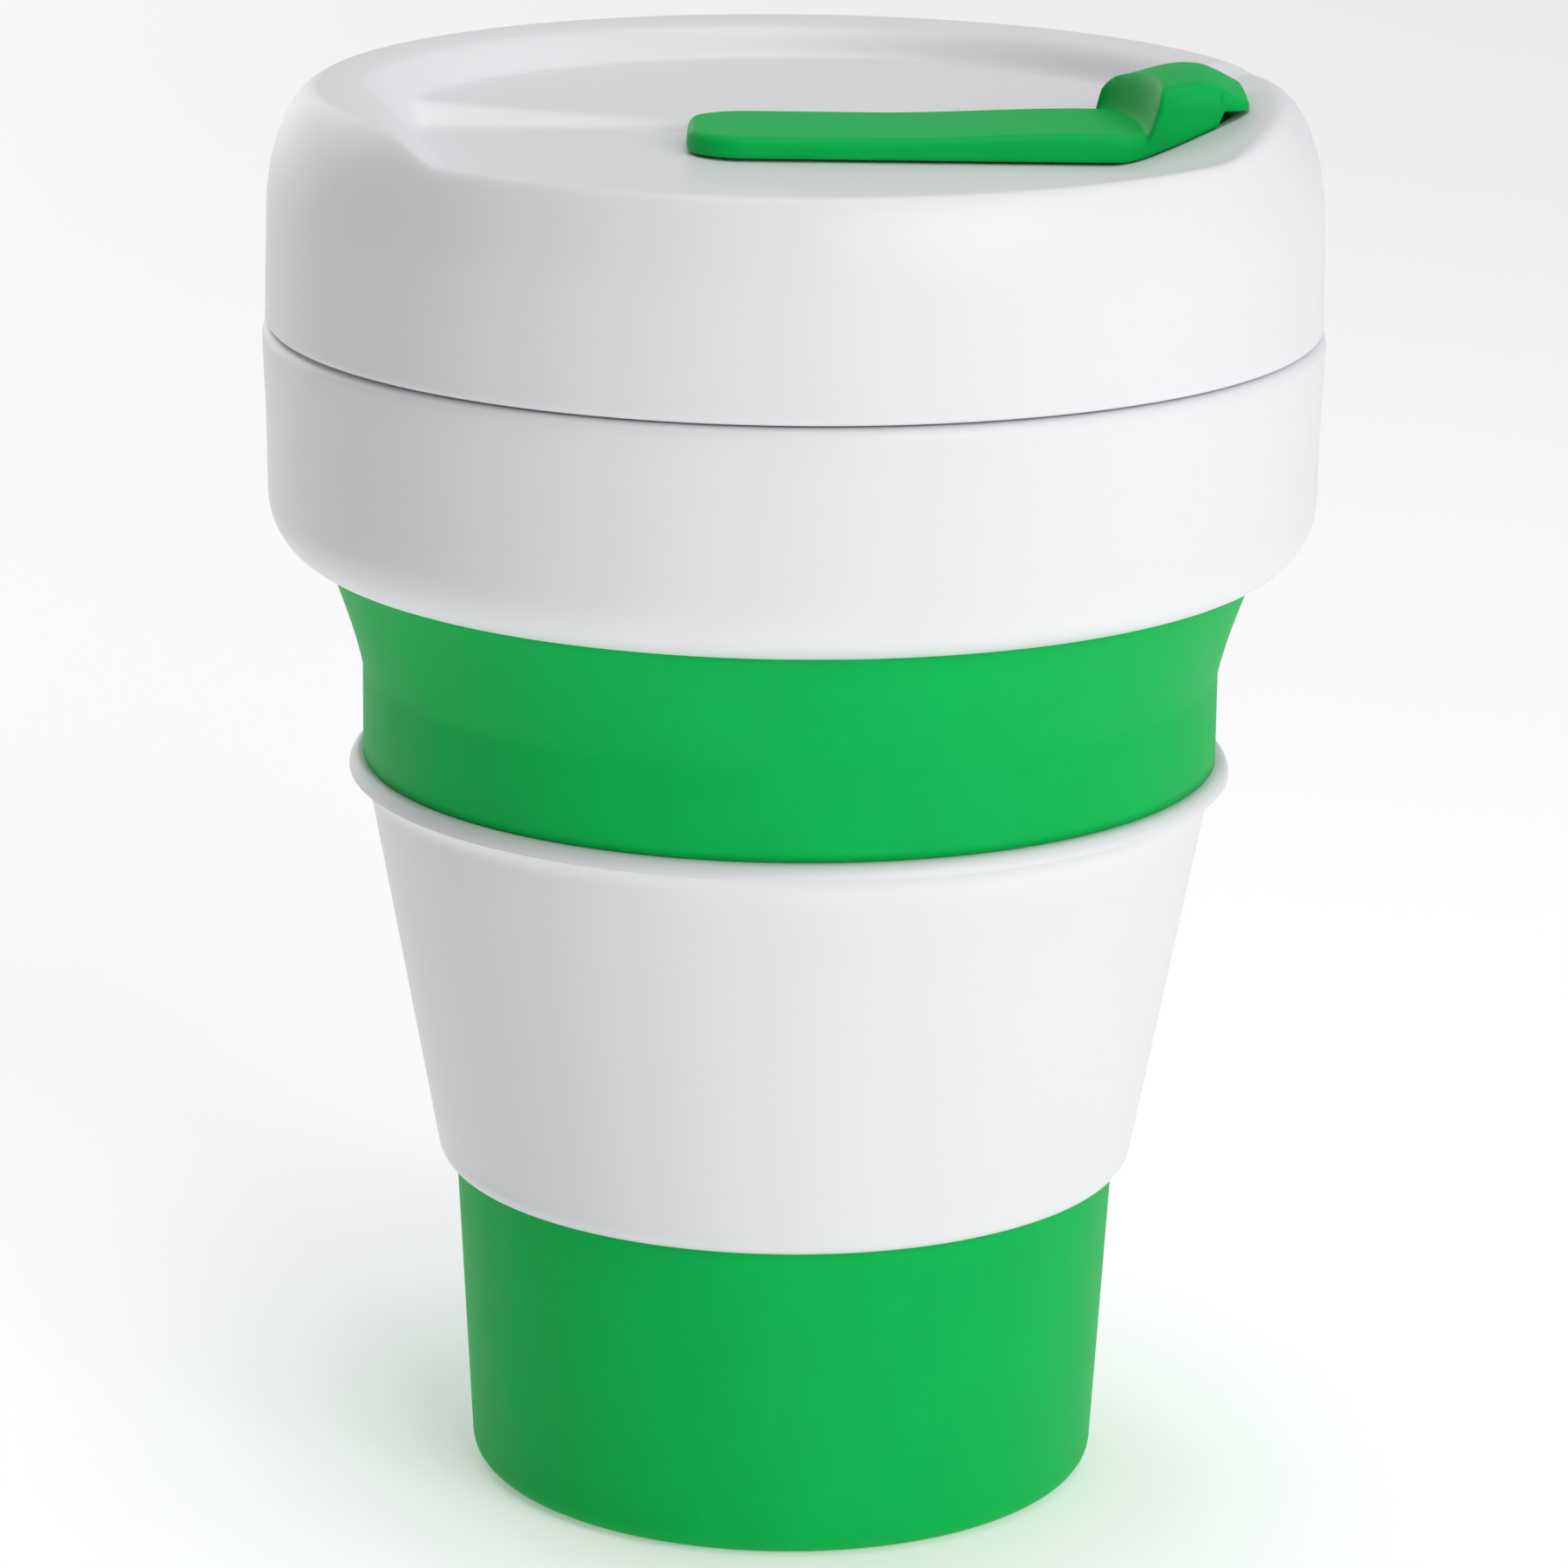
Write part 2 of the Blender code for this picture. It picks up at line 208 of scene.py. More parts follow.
# ---------------------------------------------------------------- silicone cup and sleeve
WALL_R = 40.15
WALL_TOP_Z = 78.5
FLARE = 3.5
FLARE_POWER = 1.25
FLARE_TOP_Z = 89.5
FLARE_TOP_R = 43.55
UPPER_THICK = 1.1
LOWER_THICK = 0.9
LOWER_R = 31.0
LOWER_SPREAD = 2.6
MIDDLE_INSET = 1.6
CUP_WALL = 2.2
BASE_R = 29.75
BASE_TAPER = 0.055
BASE_SIDE_Z = 29.6
BASE_FLOOR_Z = 3.0
FOOT_RECESS = 0.8
SLEEVE_R = 34.0
SLEEVE_R_Z = 36.65
SLEEVE_TAPER = 0.1846
SLEEVE_WALL = 1.3


# ================================================================= numbers and curves
def clip(value, low=0.0, high=1.0):
    return max(low, min(high, value))


def smooth(value):
    """0 to 1 with no slope at either end."""
    t = clip(value)
    return t * t * (3 - 2 * t)


def eased(value, start, run):
    """0 before start, and 1 once the value is run past it."""
    return smooth((value - start) / run)


def smooth_max(a, b, width):
    """The larger of two values, with the corner where they cross rounded over this width."""
    share = clip(0.5 + 0.5 * (a - b) / width)
    return b + (a - b) * share + width * share * (1 - share)


def smooth_min(a, b, width):
    return -smooth_max(-a, -b, width)


def spaced(start, end, count):
    """The count + 1 values that divide start to end into count even steps."""
    return [start + (end - start) * i / count for i in range(count + 1)]


def arc(centre, radii, start, end, steps):
    """Outline points on an ellipse, between two angles in degrees: 0 is outwards and 90 is up."""
    angles = [math.radians(angle) for angle in spaced(start, end, steps)]
    return [(centre[0] + radii[0] * math.cos(t), centre[1] + radii[1] * math.sin(t)) for t in angles]


def rounded(corners, steps=5):
    """A closed outline whose corners (radius, height, fillet) are rounded by arcs."""
    points = []
    count = len(corners)
    for i, (r, z, fillet) in enumerate(corners):
        here = Vector((r, z))
        if fillet <= 0:
            points.append((r, z))
            continue
        before = (Vector(corners[i - 1][:2]) - here).normalized()
        after = (Vector(corners[(i + 1) % count][:2]) - here).normalized()
        half = before.angle(after) / 2
        reach = fillet / math.tan(half)
        centre = here + (before + after).normalized() * (fillet / math.sin(half))
        start = here + before * reach - centre
        end = here + after * reach - centre
        turn = start.angle_signed(end)
        for k in range(steps + 1):
            spoke = Matrix.Rotation(-turn * k / steps, 2) @ start
            points.append((centre.x + spoke.x, centre.y + spoke.y))
    return points


# ================================================================= mesh helpers
def new_object(name, mesh, finish, sharp=40.0):
    """An object of this bmesh, whose points are millimetres, with faces turned outwards.

    Faces shade smoothly across an edge, unless they meet there at more than sharp degrees.
    """
    bmesh.ops.recalc_face_normals(mesh, faces=mesh.faces)
    for vert in mesh.verts:
        vert.co *= MM
    data = bpy.data.meshes.new(name)
    mesh.to_mesh(data)
    mesh.free()
    data.shade_smooth()
    data.set_sharp_from_angle(angle=math.radians(sharp))
    obj = bpy.data.objects.new(name, data)
    bpy.context.scene.collection.objects.link(obj)
    if finish is not None:
        data.materials.append(finish)
    return obj


def strip(mesh, a, b):
    """Faces between two open rows of points. Where the rows share an end, the face there is a triangle."""
    for i in range(len(a) - 1):
        corners = (a[i], a[i + 1], b[i + 1], b[i])
        mesh.faces.new(list(dict.fromkeys(corners)))


def bridge(mesh, a, b):
    """Faces between two closed rings of points."""
    strip(mesh, a + a[:1], b + b[:1])


def directions(turns=TURNS):
    """Unit directions evenly round the Z axis."""
    angles = [2 * math.pi * i / turns for i in range(turns)]
    return [(math.cos(angle), math.sin(angle)) for angle in angles]


def add_ring(mesh, around, radius, height):
    return [mesh.verts.new((radius * c, radius * s, height)) for c, s in around]


def turned_mesh(outline, turns=TURNS, closed=True):
    """The (radius, height) outline turned about Z. It meets the axis only across flat ends."""
    mesh = bmesh.new()
    around = directions(turns)
    rings = [add_ring(mesh, around, r, z) if r > 0 else [] for r, z in outline]
    pairs = list(zip(rings, rings[1:]))
    if closed:
        pairs.append((rings[-1], rings[0]))
    for a, b in pairs:
        if a and b:
            bridge(mesh, a, b)
        elif a or b:
            mesh.faces.new(a or b)
    return mesh


def cut(obj, cutter):
    step = obj.modifiers.new(cutter.name, "BOOLEAN")
    step.operation = "DIFFERENCE"
    step.solver = "EXACT"
    step.object = cutter


def baked(obj):
    """Applies the object's cuts, and drops the cutters they used."""
    cutters = [step.object for step in obj.modifiers]
    graph = bpy.context.evaluated_depsgraph_get()
    data = bpy.data.meshes.new_from_object(obj.evaluated_get(graph), depsgraph=graph)
    obj.modifiers.clear()
    old = obj.data
    obj.data = data
    bpy.data.meshes.remove(old)
    data.shade_smooth()
    data.set_sharp_from_angle(angle=math.radians(35.0))
    for cutter in cutters:
        bpy.data.objects.remove(cutter, do_unlink=True)
    return obj


def folding_skin(name, outline, thickness):
    """A thin turned wall: its outline is the outside, and its thickness goes inwards."""
    skin = new_object(name, turned_mesh(outline, closed=False), GREEN, 80.0)
    shell = skin.modifiers.new("thickness", "SOLIDIFY")
    shell.thickness = thickness * MM
    shell.offset = -1.0
    return skin


# ================================================================= materials
def new_material(name, colour, roughness):
    material = bpy.data.materials.new(name)
    material.use_nodes = True
    shader = material.node_tree.nodes["Principled BSDF"]
    shader.inputs["Base Color"].default_value = (*colour, 1.0)
    shader.inputs["Roughness"].default_value = roughness
    return material, shader


def noise_value(tree, scale, detail, roughness):
    where = tree.nodes.get("Texture Coordinate") or tree.nodes.new("ShaderNodeTexCoord")
    noise = tree.nodes.new("ShaderNodeTexNoise")
    noise.inputs["Scale"].default_value = scale
    noise.inputs["Detail"].default_value = detail
    noise.inputs["Roughness"].default_value = roughness
    tree.links.new(where.outputs["Object"], noise.inputs["Vector"])
    return noise.outputs["Fac"]


def ramped(tree, source, stops, target):
    """Turns the source's value into a colour between two (value, colour) stops, for the target socket."""
    ramp = tree.nodes.new("ShaderNodeValToRGB")
    for element, (position, colour) in zip(ramp.color_ramp.elements, stops):
        element.position = position
        element.color = (*colour, 1.0)
    tree.links.new(source, ramp.inputs["Fac"])
    tree.links.new(ramp.outputs["Color"], target)


def bumped(tree, source, strength, distance, target):
    bump = tree.nodes.new("ShaderNodeBump")
    bump.inputs["Strength"].default_value = strength
    bump.inputs["Distance"].default_value = distance
    tree.links.new(source, bump.inputs["Height"])
    tree.links.new(bump.outputs["Normal"], target)


def moulded(name, colour, roughness, specular, patches, tones, polish, grain, bump):
    """A moulded surface: its tone and polish vary in faint patches, under a fine bumped grain.

    patches and grain are the (scale, detail, roughness) of a noise. tones are two stops of the patches as
    (value, factor on the colour), and polish two as (value, step in roughness). bump is (strength, metres).
    """
    material, shader = new_material(name, colour, roughness)
    shader.inputs["Specular IOR Level"].default_value = specular
    tree = material.node_tree
    patch = noise_value(tree, *patches)
    shades = [(value, [c * factor for c in colour]) for value, factor in tones]
    ramped(tree, patch, shades, shader.inputs["Base Color"])
    greys = [(value, [roughness + step] * 3) for value, step in polish]
    ramped(tree, patch, greys, shader.inputs["Roughness"])
    bumped(tree, noise_value(tree, *grain), *bump, shader.inputs["Normal"])
    return material, shader


def moulded_plastic(name, colour, roughness):
    """Satin polypropylene with a fine spark-eroded grain."""
    material, _ = moulded(
        name,
        colour,
        roughness,
        specular=0.42,
        patches=(22.0, 2.0, 0.5),
        tones=((0.35, 0.975), (0.7, 1.0)),
        polish=((0.3, -0.03), (0.75, 0.05)),
        grain=(2600.0, 4.0, 0.6),
        bump=(0.12, 0.00004),
    )
    return material


def silicone(name, colour, roughness):
    """Matt silicone: faint mottling, a very fine moulded texture, and a trace of bloom at grazing angles."""
    material, shader = moulded(
        name,
        colour,
        roughness,
        specular=0.10,
        patches=(130.0, 5.0, 0.62),
        tones=((0.32, 0.96), (0.7, 1.03)),
        polish=((0.3, -0.04), (0.72, 0.07)),
        grain=(1900.0, 3.0, 0.6),
        bump=(0.16, 0.00005),
    )
    shader.inputs["Sheen Weight"].default_value = 0.01
    shader.inputs["Sheen Roughness"].default_value = 0.45
    shader.inputs["Sheen Tint"].default_value = (0.75, 1.0, 0.85, 1.0)
    return material


WHITE = moulded_plastic("white_polypropylene", (0.80, 0.80, 0.815), 0.40)
GREEN = silicone("green_silicone", (0.0, 0.45, 0.08), 0.52)
GASKET = silicone("gasket_silicone", (0.62, 0.63, 0.63), 0.40)


# ================================================================= lid
def shoulder_z(radius):
    """Height of the turned outside: a crest that drops a little inwards, and a quarter ellipse outwards."""
    if radius <= CREST_R:
        inward = clip((CREST_R - radius) / (CREST_R - RIM_INNER_R))
        return CREST_Z - RIM_DROP * inward**RIM_POWER
    across = clip((radius - CREST_R) / (SHOULDER_R - CREST_R))
    return SHOULDER_Z + (CREST_Z - SHOULDER_Z) * math.sqrt(1 - across * across)


def dish_side_z(radius):
    return DISH_EDGE_Z + (radius - DISH_R) * DISH_SIDE_SLOPE


def dish_z(x, y):
    """The round dish behind the step: a shallow bowl with a steep side under the rim."""
    radius = math.hypot(x, y)
    bottom = DISH_LOW_Z + (DISH_EDGE_Z - DISH_LOW_Z) * (radius / DISH_R) ** 2
    front = CHANNEL_Z + (DISH_FRONT_Y - y) * DISH_FRONT_SLOPE
    return smooth_max(smooth_max(bottom, dish_side_z(radius), WALL_JOIN), front, DISH_FRONT_JOIN)


def channel_z(x, y):
    """The strap's level channel, the deck that climbs to the front edge, and the walls at their ends."""
    edge_y = -math.sqrt(max(DECK_EDGE_R**2 - x * x, DECK_EDGE_LEAST_Y**2))
    climb = max(0.0, (DECK_START_Y - y) / (DECK_START_Y - edge_y))
    deck = CHANNEL_Z + (DECK_EDGE_Z - CHANNEL_Z) * climb**DECK_POWER
    step = CHANNEL_Z + (y - STEP_FOOT_Y) * STEP_SLOPE
    left_wall = LEFT_WALL_Z + (LEFT_WALL_X - x - LEFT_WALL_SLANT * y) / LEFT_WALL_RUN
    right_wall = CHANNEL_Z + RIGHT_WALL_SLOPE * (x - RIGHT_WALL_X)
    rim_share = eased(y, *RIM_SIDE_Y) * eased(x, *RIM_SIDE_X)
    rim_side = dish_side_z(math.hypot(x, y)) - RIM_SIDE_SINK * (1 - rim_share)
    height = smooth_max(deck, step, STEP_FOOT_JOIN)
    for wall in (left_wall, rim_side, right_wall):
        height = smooth_max(height, wall, WALL_JOIN)
    return height


def lid_top_z(x, y):
    floor_z = smooth_min(dish_z(x, y), channel_z(x, y), STEP_BROW_JOIN)
    return smooth_min(shoulder_z(math.hypot(x, y)), floor_z, RIM_JOIN)


def top_point(mesh, x, y):
    return mesh.verts.new((x, y, lid_top_z(x, y)))


def cap_point(u, share, side):
    """A point between the chord (share 0) and the arc (share 1) that close the patch's front or back."""
    angle = u * math.pi / 4
    on_arc = Vector((PATCH_R * math.sin(angle), side * PATCH_R * math.cos(angle)))
    on_chord = Vector((u, side)) * PATCH_CORNER
    return tuple(on_chord.lerp(on_arc, share))


def patch_cap(mesh, chord, columns, side):
    """Rows from the patch's last straight row to the arc in front of it (side -1) or behind it (side 1)."""
    rows = []
    for share in spaced(0.0, 1.0, 14)[1:]:
        between = [top_point(mesh, *cap_point(u, share, side)) for u in columns[1:-1]]
        rows.append([chord[0], *between, chord[-1]])
    return rows


def lid_patch(mesh):
    """The middle of the lid's top in rows along X, closest together at the step. Returns its outer loop."""
    columns = spaced(-1.0, 1.0, 96)
    ys = spaced(-PATCH_CORNER, STEP_ROWS[0], 40) + spaced(*STEP_ROWS, 24)[1:]
    ys += spaced(STEP_ROWS[1], PATCH_CORNER, 20)[1:]
    straight = []
    for y in ys:
        reach = math.sqrt(PATCH_R**2 - y * y)
        straight.append([top_point(mesh, u * reach, y) for u in columns])
    front = patch_cap(mesh, straight[0], columns, -1)
    back = patch_cap(mesh, straight[-1], columns, 1)
    rows = front[::-1] + straight + back
    for low, high in zip(rows, rows[1:]):
        strip(mesh, low, high)
    right = [row[-1] for row in straight]
    left = [row[0] for row in straight]
    return rows[0][:-1] + right[:-1] + rows[-1][:0:-1] + left[:0:-1]


def lid_body():
    """The whole lid: its top, skirt and inside, with the sip hole, the vent and the peg's hole."""
    mesh = bmesh.new()
    loop = lid_patch(mesh)
    around = [tuple(Vector(vert.co[:2]).normalized()) for vert in loop]
    radii = spaced(PATCH_R, CREST_R, 26)[1:]
    radii += [CREST_R + (SHOULDER_R - CREST_R) * math.sin(t) for t in spaced(0.0, QUARTER, 22)[1:]]
    for radius in radii:
        ring = [top_point(mesh, radius * c, radius * s) for c, s in around]
        bridge(mesh, loop, ring)
        loop = ring
    outline = [(SHOULDER_R + 0.12, SHOULDER_Z - 5), (LID_R - 0.04, SEAM_Z + 1.0)]
    outline += arc((LID_R - LID_EDGE_R, SEAM_Z + LID_EDGE_R), (LID_EDGE_R, LID_EDGE_R), 0, -90, 3)
    outline += [(LID_BORE_R + LID_EDGE_R, SEAM_Z), (LID_BORE_R, SEAM_Z + LID_EDGE_R)]
    fillet = CEILING_FILLET
    outline += arc((LID_BORE_R - fillet, CEILING_Z - fillet), (fillet, fillet), 0, 90, 2)
    outline += [(CEILING_INNER_R, CEILING_Z)]
    for radius, height in outline:
        ring = add_ring(mesh, around, radius, height)
        bridge(mesh, loop, ring)
        loop = ring
    mesh.faces.new(loop)
    body = new_object("lid_body", mesh, WHITE)
    cut(body, hole_cutter("sip_cutter", SIP_X, SIP_R, 0.7))
    cut(body, hole_cutter("vent_cutter", VENT_X, VENT_R, 0.3))
    cut(body, hole_cutter("peg_cutter", ANCHOR_X, PEG_HOLE_R, 0.2))
    return baked(body)


def hole_cutter(name, x, radius, chamfer):
    """A plain hole through the lid, with its edges broken above and below."""
    top = lid_top_z(x, 0.0)
    below, above = 2.0, 3.0
    outline = [
        (0.0, CEILING_Z - below),
        (radius + chamfer + below, CEILING_Z - below),
        (radius, CEILING_Z + chamfer),
        (radius, top - chamfer),
        (radius + chamfer + above, top + above),
        (0.0, top + above),
    ]
    cutter = new_object(name, turned_mesh(outline, SMALL_TURNS), None)
    cutter.location.x = x * MM
    return cutter


def thread_rib(mesh, centre_angle, half_sweep, centre_z, root, tip):
    """One helical rib that sinks into its wall at both ends. root and tip are (radius, half height)."""
    (root_r, root_half), (tip_r, tip_half) = root, tip
    steps = max(8, int(half_sweep / math.radians(1.5)))
    rings = []
    for turn in spaced(-half_sweep, half_sweep, steps):
        crest_r = root_r + (tip_r - root_r) * smooth((half_sweep - abs(turn)) / THREAD_FADE)
        angle = centre_angle + turn
        height = centre_z + THREAD_LEAD * turn / (2 * math.pi)
        section = [(root_r, -root_half), (crest_r, -tip_half), (crest_r, tip_half), (root_r, root_half)]
        c, s = math.cos(angle), math.sin(angle)
        rings.append([mesh.verts.new((radius * c, radius * s, height + up)) for radius, up in section])
    for a, b in zip(rings, rings[1:]):
        bridge(mesh, a, b)
    mesh.faces.new(rings[0])
    mesh.faces.new(rings[-1])


def lid_lugs():
    """Three short lugs inside the skirt, which run under the neck's ridges."""
    mesh = bmesh.new()
    for angle in THREAD_ANGLES:
        root, tip = (LID_BORE_R + 0.3, 0.8), (45.8, 0.4)
        thread_rib(mesh, angle, math.radians(13), THREAD_Z - 1.6, root, tip)
    return new_object("lid_lugs", mesh, WHITE)


def gasket_ring():
    low, high = GASKET_LOW[2], GASKET_HIGH[2]
    inner, outer = GASKET_R, GASKET_HIGH[0]
    corners = [(outer, low, 0.5), (outer, high, 0.5), (inner, high, 0.5), (inner, low, 0.5)]
    return new_object("gasket_ring", turned_mesh(rounded(corners)), GASKET)


# ================================================================= stopper
def strap_half(x):
    """Half the stopper's width: round corners at the anchor end, and a slightly narrower pull tab."""
    half = STRAP_HALF - TAB_NARROWING * eased(x, *TAB_NARROWING_X)
    for radius, end in ((ANCHOR_CORNER_R, x - STOPPER_LEFT), (TAB_CORNER_R, STOPPER_RIGHT - x)):
        half -= rounding(radius, end)
    return half


def rounding(radius, inside):
    """How far a rounded edge has drawn in at this distance inside the outline."""
    short = clip(radius - inside, 0.0, radius)
    return radius - math.sqrt(radius**2 - short**2)


def stopper_top_z(x, y):
    """The strap's nearly level top, then the block: a hollowed, slanting face, a crown, and a tab."""
    strap = STRAP_BOTTOM_Z + STRAP_THICK + STRAP_RISE * eased(x, *STRAP_RISE_X)
    to_front = clip((STRAP_HALF - y) / (2 * STRAP_HALF))
    face_x = FACE_X + FACE_SLANT * math.sqrt(to_front) + FACE_HOLLOW * math.sin(math.pi * to_front)
    face = eased(x, face_x, FACE_DEPTH + FACE_DEPTH_GROWTH * to_front)
    crown = CROWN_Z + CROWN_RISE * eased(x, *CROWN_RISE_X) - CROWN_FALL * eased(x, *CROWN_FALL_X)
    crown -= CROWN_CAMBER * (y / CROWN_CAMBER_Y) ** 2
    return strap + (crown - strap) * face


def stopper_bottom_z(x, y):
    """The underside: level on the strap, then just clear of the lid's wall, and notched under the tab."""
    climb = STRAP_BOTTOM_Z + RIGHT_WALL_SLOPE * max(0.0, x - UNDER_CLIMB_X)
    notched = min(climb + NOTCH * eased(x, *NOTCH_X), UNDER_HIGHEST_Z)
    return max(notched, lid_top_z(x, y) + LID_CLEARANCE)


def stopper_stations():
    """X of each cross section: close together at both ends, over the bend and along the block's face."""
    ends = [2 * EDGE_R * (1 - math.cos(t)) for t in spaced(0.0, QUARTER, 8)]
    stretches = [
        (STOPPER_LEFT + ANCHOR_CORNER_R, 12),
        (HINGE_X, 10),
        (BEND_END_X, 14),
        (FACE_START_X, 26),
        (FACE_END_X, 52),
        (STOPPER_RIGHT - 2 * EDGE_R, 34),
    ]
    stations = [STOPPER_LEFT + inset for inset in ends]
    for stop, count in stretches:
        stations += spaced(stations[-1], stop, count)[1:]
    return stations + [STOPPER_RIGHT - inset for inset in reversed(ends)][1:]


def stopper_top():
    """Strap, block and tab in one skin."""
    across = [math.sin(t) for t in spaced(-QUARTER, QUARTER, 56)]
    mesh = bmesh.new()
    tops = []
    bottoms = []
    for x in stopper_stations():
        half = max(strap_half(x), 0.05)
        end = min(x - STOPPER_LEFT, STOPPER_RIGHT - x)
        top_row = []
        bottom_row = []
        for share in across:
            y = share * half
            inside = min(half - abs(y), end)
            top = stopper_top_z(x, y)
            bottom = stopper_bottom_z(x, y)
            thick = top - bottom
            edge = min(EDGE_R + EDGE_R_GROWTH * eased(x, *EDGE_GROWTH_X), 0.6 * thick)
            under_edge = min(UNDER_EDGE_R, 0.3 * thick)
            top_row.append(mesh.verts.new((x, y, top - rounding(edge, inside))))
            bottom_row.append(mesh.verts.new((x, y, bottom + rounding(under_edge, inside))))
        tops.append(top_row)
        bottoms.append(bottom_row)
    for rows in (tops, bottoms):
        for a, b in zip(rows, rows[1:]):
            strip(mesh, a, b)
    for i in (0, -1):
        strip(mesh, [row[i] for row in tops], [row[i] for row in bottoms])
        strip(mesh, tops[i], bottoms[i])
    return new_object("stopper_top", mesh, GREEN, 60.0)


def stopper_plug():
    """The plug that fills the sip hole, with a bead that snaps under the lid."""
    low, top = FLAP_LOW[2], STRAP_BOTTOM_Z + 1.2
    outline = [
        (0.0, low),
        (2.9, low),
        (3.4, low + 0.2),
        (PLUG_BEAD_R, low + 0.7),
        (PLUG_BEAD_R, low + 1.1),
        (PLUG_R, low + 1.7),
        (PLUG_R, top),
        (0.0, top),
    ]
    plug = new_object("stopper_plug", turned_mesh(outline, SMALL_TURNS), GREEN)
    plug.location.x = SIP_X * MM
    return plug


def stopper_peg():
    """The anchor's peg and the head that holds it under the lid."""
    low, top = ANCHOR_LOW[2], STRAP_BOTTOM_Z + 0.8
    outline = [
        (0.0, low),
        (2.4, low),
        (3.4, low + 0.35),
        (PEG_HEAD_R, low + 0.9),
        (PEG_HEAD_R, CEILING_Z - 0.35),
        (PEG_R, CEILING_Z - 0.3),
        (PEG_R, top),
        (0.0, top),
    ]
    peg = new_object("stopper_peg", turned_mesh(outline, SMALL_TURNS), GREEN)
    peg.location.x = ANCHOR_X * MM
    return peg


# ================================================================= collar and neck
def collar_band():
    """The wide band: a soft upper edge, a side that draws in slightly, and a round that ends in a lip."""
    top = COLLAR_TOP_Z
    outline = arc((COLLAR_R - 0.9, top - 1.0), (0.9, 1.0), 90, 0, 4)
    outline += [(COLLAR_R, top - 2.0), (COLLAR_R - 0.1, top - 4.5), (COLLAR_R - 0.24, top - 7.2)]
    outline += [(COLLAR_FOOT_R + 0.08, COLLAR_ROUND_Z + 4.5)]
    round_radii = (COLLAR_FOOT_R - LIP_R, COLLAR_ROUND_Z - LIP_Z)
    outline += arc((LIP_R, COLLAR_ROUND_Z), round_radii, 0, -90, 18)
    outline += [(LIP_R - 0.23, LIP_Z + 0.12), (LIP_R - 0.33, LIP_Z + 0.4), (LIP_R - 0.25, LIP_Z + 0.9)]
    outline += [(LIP_R + 1.25, LIP_Z + 2.2), (COLLAR_BORE_R, COLLAR_ROUND_Z), (COLLAR_BORE_R, top - 2.3)]
    outline += [(COLLAR_LAND_R, top - 2.3), (COLLAR_LAND_R, top)]
    return new_object("collar_band", turned_mesh(outline), WHITE, 50.0)


def neck_ring():
    """The neck that stands out of the collar, and the ridges that the lid's lugs run under."""
    low, high = NECK_LOW[2], NECK_HIGH[2]
    corners = [(NECK_R, low, 0), (NECK_R, high, 0.6), (NECK_BORE_R, high, 0.6), (NECK_BORE_R, low, 0)]
    neck = new_object("neck_ring", turned_mesh(rounded(corners)), WHITE)
    mesh = bmesh.new()
    for angle in THREAD_ANGLES:
        thread_rib(mesh, angle, math.radians(45), THREAD_Z, (NECK_R - 0.2, 0.75), (46.05, 0.4))
    return neck, new_object("neck_ridges", mesh, WHITE)


# ================================================================= silicone cup
def cup_lining():
    """The silicone inside the collar: a wall under the neck, and a tongue up between neck and band."""
    foot = NECK_LOW[2] - 0.3
    top = 108.2
    corners = [
        (43.6, LIP_Z + 2.6, 0.4),
        (46.3, 95.9, 0.6),
        (46.4, top, 0.3),
        (COLLAR_LAND_R, top, 0.2),
        (COLLAR_LAND_R, foot, 0.2),
        (NECK_BORE_R, foot, 0.3),
        (43.6, 96.0, 1.5),
        (42.7, LIP_Z + 2.6, 0.2),
    ]
    return new_object("cup_lining", turned_mesh(rounded(corners)), GREEN)


def flare_r(z):
    """Outside radius of the upper wall and of the flare above it, up to its edge inside the collar."""
    share = max(0.0, (z - WALL_TOP_Z) / (FLARE_TOP_Z - WALL_TOP_Z))
    return min(WALL_R + FLARE * share**FLARE_POWER, FLARE_TOP_R)


def upper_wall():
    """One thin skin from the sleeve's flange to inside the collar, with a flare at the top."""
    fine_from = WALL_TOP_Z - 0.5
    heights = spaced(SLEEVE_TOP_Z + 0.12, fine_from, 8)[:-1] + spaced(fine_from, LIP_Z + 3.0, 44)
    skin = folding_skin("upper_wall", [(flare_r(z), z) for z in heights], UPPER_THICK)
    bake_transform(skin)
    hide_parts("upper_fold")


def sleeve_r(z):
    """Outside radius of the sleeve's cone."""
    return SLEEVE_R + SLEEVE_TAPER * (z - SLEEVE_R_Z)


def middle_wall():
    """The thick wall that the sleeve stands round, with a rolled ledge under the upper wall."""
    bottom, top = MIDDLE_LOW[2], SLEEVE_TOP_Z + 0.5
    bottom_r, top_r = sleeve_r(bottom) - MIDDLE_INSET, sleeve_r(top) - MIDDLE_INSET
    corners = [
        (bottom_r, bottom, 0.5),
        (top_r, top, 0.15),
        (WALL_R - 0.3, top, 0.1),
        (WALL_R - 1.0, top + 1.2, 0.2),
        (WALL_R - 2.4, top + 0.6, 0.8),
        (bottom_r - CUP_WALL, bottom, 0.5),
    ]
    return new_object("middle_wall", turned_mesh(rounded(corners)), GREEN)


def lower_skin():
    """The thin wall between the middle tier and the base."""
    top, bottom = MIDDLE_LOW[2] + 0.5, BASE_HIGH[2] - 0.6
    shares = spaced(0.0, 1.0, 30)
    outline = [(LOWER_R + LOWER_SPREAD * share, bottom + (top - bottom) * share) for share in shares]
    skin = folding_skin("lower_skin", outline, LOWER_THICK)
    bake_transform(skin)
    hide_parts("lower_fold")


